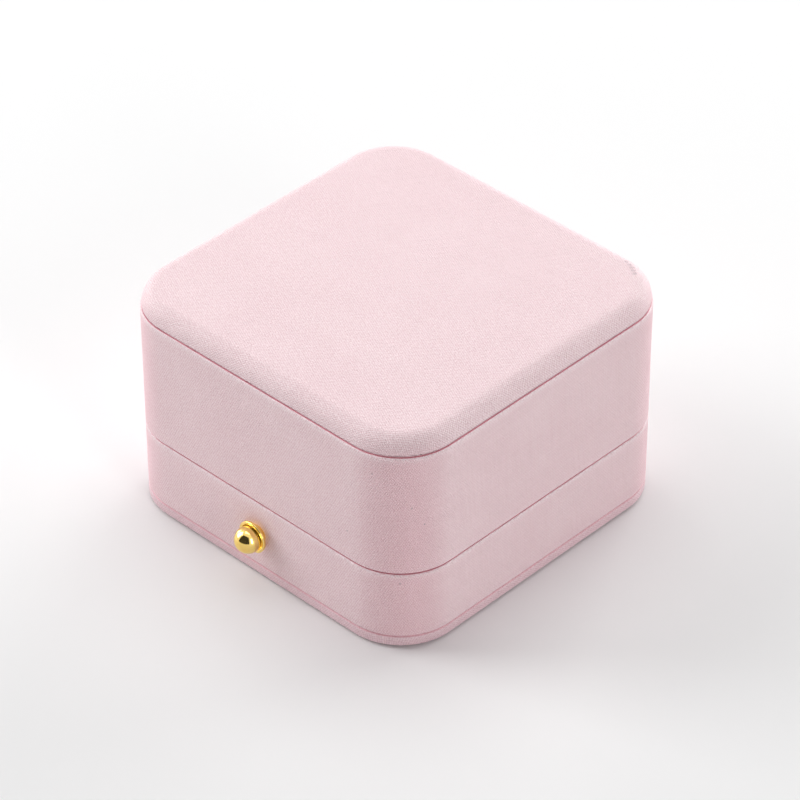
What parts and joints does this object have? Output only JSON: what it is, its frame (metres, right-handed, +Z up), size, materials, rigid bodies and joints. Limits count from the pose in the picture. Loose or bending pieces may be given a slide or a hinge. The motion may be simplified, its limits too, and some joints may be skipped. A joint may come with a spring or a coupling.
{
  "type": "jewellery case",
  "caption": "Square jewellery case with rounded corners, covered in fine woven leatherette, with a padded hinged lid, a lined room and a ball push button.",
  "frame": {"origin": "centre of the resting face underneath", "axes": "+Z up, -Y towards the front with the push button, +Y towards the hinge, +X to the right seen from the front"},
  "size_m": [0.095, 0.1032, 0.0613],
  "materials": {
    "cover": "fine woven satin, pale rose",
    "board": "grey board",
    "foam": "soft foam",
    "velvet": "short pile",
    "satin": "satin",
    "ribbon": "satin ribbon",
    "felt": "felt",
    "housing": "moulded",
    "brass": "polished",
    "steel": "plain"
  },
  "bodies": {
    "base": {"underside_felt": "felt", "bottom_board": "board", "bottom_cover": "cover", "floor_lining": "velvet", "base_wall": "board", "base_cover": "cover", "base_lining": "velvet", "insert_foam": "foam", "insert_cover": "velvet", "ring_rolls": "velvet", "insert_pull_tab": "ribbon", "hinge_leaf_base": "steel", "hinge_pin": "steel", "hinge_spring": "steel", "hinge_rivets_base": "steel", "button_bezel": "brass", "bezel_nut": "steel", "latch_spring": "steel", "latch_rivet": "steel", "latch_housing": "housing"},
    "lid": {"lid_wall": "board", "lid_cover": "cover", "lid_lining": "velvet", "top_board": "board", "top_foam": "foam", "top_cover": "cover", "lid_pad_board": "board", "lid_pad_foam": "foam", "lid_pad_satin": "satin", "hinge_leaf_lid": "steel", "hinge_rivets_lid": "steel", "strike_plate": "brass", "strike_rivets": "steel"},
    "button": {"push_button": "brass", "button_clip": "steel"}
  },
  "joints": [
    {"name": "lid_hinge", "type": "hinge", "parent": "base", "child": "lid", "pos_m": [0, 0.0475, 0.0222], "axis": [-1, 0, 0], "range_deg": [0, 100], "deforming": ["latch_spring", "hinge_spring"]},
    {"name": "button_press", "type": "slide", "parent": "base", "child": "button", "axis": [0, 1, 0], "range_m": [0, 0.0008], "stiffness_N_per_m": 400, "deforming": ["latch_spring"]}
  ]
}
